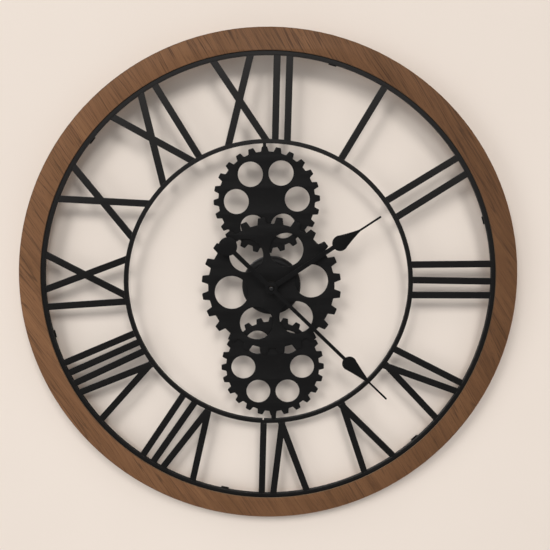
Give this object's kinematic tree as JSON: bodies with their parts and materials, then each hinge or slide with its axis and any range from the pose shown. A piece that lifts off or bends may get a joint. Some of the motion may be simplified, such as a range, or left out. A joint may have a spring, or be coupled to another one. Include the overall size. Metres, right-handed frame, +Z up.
{
  "type": "open-frame wall clock",
  "caption": "Round open-frame wall clock: wooden rim, black metal Roman numerals between two rings, fixed gear plates, spade hands and a battery movement.",
  "frame": {"origin": "centre of the round rim, half-way between the front of the hand nut and the wall face of the bumpers", "axes": "+X to the viewer's right, +Y from the viewer into the wall, +Z up"},
  "size_m": [0.6999, 0.0384, 0.7],
  "materials": {
    "wood_core": "raw fibreboard",
    "wood_veneer": "stained veneer, satin lacquer",
    "edge_band": "stained edge veneer",
    "black_frame": "matt black powder coat",
    "black_plate": "matt black powder coat",
    "black_cup": "matt black powder coat",
    "black_hands": "matt black paint",
    "zinc_steel": "zinc plated",
    "contact_steel": "nickel plated",
    "soft_iron": "plain stamped",
    "magnet": "plain",
    "brass": "turned",
    "dark_nut": "blackened",
    "copper_wire": "enamelled copper wire",
    "rubber": "matt",
    "black_plastic": "moulded",
    "white_plastic": "moulded",
    "battery_sleeve": "printed sleeve, no lettering",
    "board": "solder mask",
    "chip": "moulded epoxy"
  },
  "bodies": {
    "clock": {"rim_core": "wood_core", "rim_veneer": "wood_veneer", "rim_edge_band": "edge_band", "outer_ring": "black_frame", "inner_ring": "black_frame", "numeral_01": "black_frame", "numeral_02": "black_frame", "numeral_03": "black_frame", "numeral_04": "black_frame", "numeral_05": "black_frame", "numeral_06": "black_frame", "numeral_07": "black_frame", "numeral_08": "black_frame", "numeral_09": "black_frame", "numeral_10": "black_frame", "numeral_11": "black_frame", "numeral_12": "black_frame", "gear_top": "black_plate", "gear_middle": "black_plate", "gear_bottom": "black_plate", "movement_cup": "black_cup", "frame_lugs": "black_frame", "lug_screws": "zinc_steel", "hanger_plate": "zinc_steel", "hanger_screws": "zinc_steel", "wall_bumpers": "rubber", "sealing_washer": "rubber", "case_front": "black_plastic", "case_back": "black_plastic", "threaded_bush": "brass", "dial_washer": "brass", "dial_nut": "brass", "battery": "battery_sleeve", "contact_positive": "contact_steel", "contact_negative": "contact_steel", "circuit_board": "board", "driver_chip": "chip", "quartz_crystal": "contact_steel", "stator": "soft_iron", "coil_bobbin": "white_plastic", "coil_winding": "copper_wire"},
    "minute_work": {"minute_arbor": "brass", "minute_collet": "brass", "minute_hand": "black_hands", "cap_nut": "dark_nut"},
    "hour_work": {"hour_wheel": "white_plastic", "hour_collet": "brass", "hour_hand": "black_hands"},
    "motion_wheel": {"motion_wheel": "white_plastic"},
    "setting_knob": {"setting_knob": "black_plastic"},
    "center_wheel": {"center_wheel": "brass"},
    "third_wheel": {"third_wheel": "white_plastic"},
    "fourth_wheel": {"fourth_wheel": "white_plastic"},
    "fifth_wheel": {"fifth_wheel": "white_plastic"},
    "rotor": {"rotor": "magnet"}
  },
  "joints": [
    {"name": "minute_hand_turn", "type": "hinge", "parent": "clock", "child": "minute_work", "pos_m": [0.004, -0.00875, -0.001], "axis": [0, 1, 0], "continuous": true},
    {"name": "hour_hand_turn", "type": "hinge", "parent": "clock", "child": "hour_work", "pos_m": [0.004, -0.00575, -0.001], "axis": [0, 1, 0], "continuous": true},
    {"name": "motion_wheel_turn", "type": "hinge", "parent": "clock", "child": "motion_wheel", "pos_m": [-0.00389, 0.00475, -0.00387], "axis": [0, 1, 0], "continuous": true},
    {"name": "setting_knob_turn", "type": "hinge", "parent": "clock", "child": "setting_knob", "pos_m": [-0.01194, 0.01025, -0.00387], "axis": [0, 1, 0], "continuous": true},
    {"name": "rotor_turn", "type": "hinge", "parent": "clock", "child": "rotor", "pos_m": [-0.00246, 0.01325, 0.01466], "axis": [0, 1, 0], "continuous": true},
    {"name": "fifth_wheel_turn", "type": "hinge", "parent": "clock", "child": "fifth_wheel", "pos_m": [0.00306, 0.01125, 0.01369], "axis": [0, 1, 0], "continuous": true},
    {"name": "fourth_wheel_turn", "type": "hinge", "parent": "clock", "child": "fourth_wheel", "pos_m": [0.01045, 0.00975, 0.01239], "axis": [0, 1, 0], "continuous": true},
    {"name": "third_wheel_turn", "type": "hinge", "parent": "clock", "child": "third_wheel", "pos_m": [0.01335, 0.00825, 0.0044], "axis": [0, 1, 0], "continuous": true},
    {"name": "center_wheel_turn", "type": "hinge", "parent": "clock", "child": "center_wheel", "pos_m": [0.004, 0.00705, -0.001], "axis": [0, 1, 0], "continuous": true}
  ],
  "couplings": [
    {"joint": "motion_wheel_turn", "follows": "minute_hand_turn", "ratio": -0.33333},
    {"joint": "hour_hand_turn", "follows": "minute_hand_turn", "ratio": 0.083333},
    {"joint": "setting_knob_turn", "follows": "minute_hand_turn", "ratio": 1.2},
    {"joint": "fifth_wheel_turn", "follows": "rotor_turn", "ratio": -0.16667},
    {"joint": "fourth_wheel_turn", "follows": "rotor_turn", "ratio": 0.033333},
    {"joint": "third_wheel_turn", "follows": "rotor_turn", "ratio": -0.0044444},
    {"joint": "center_wheel_turn", "follows": "rotor_turn", "ratio": 0.00055556}
  ]
}
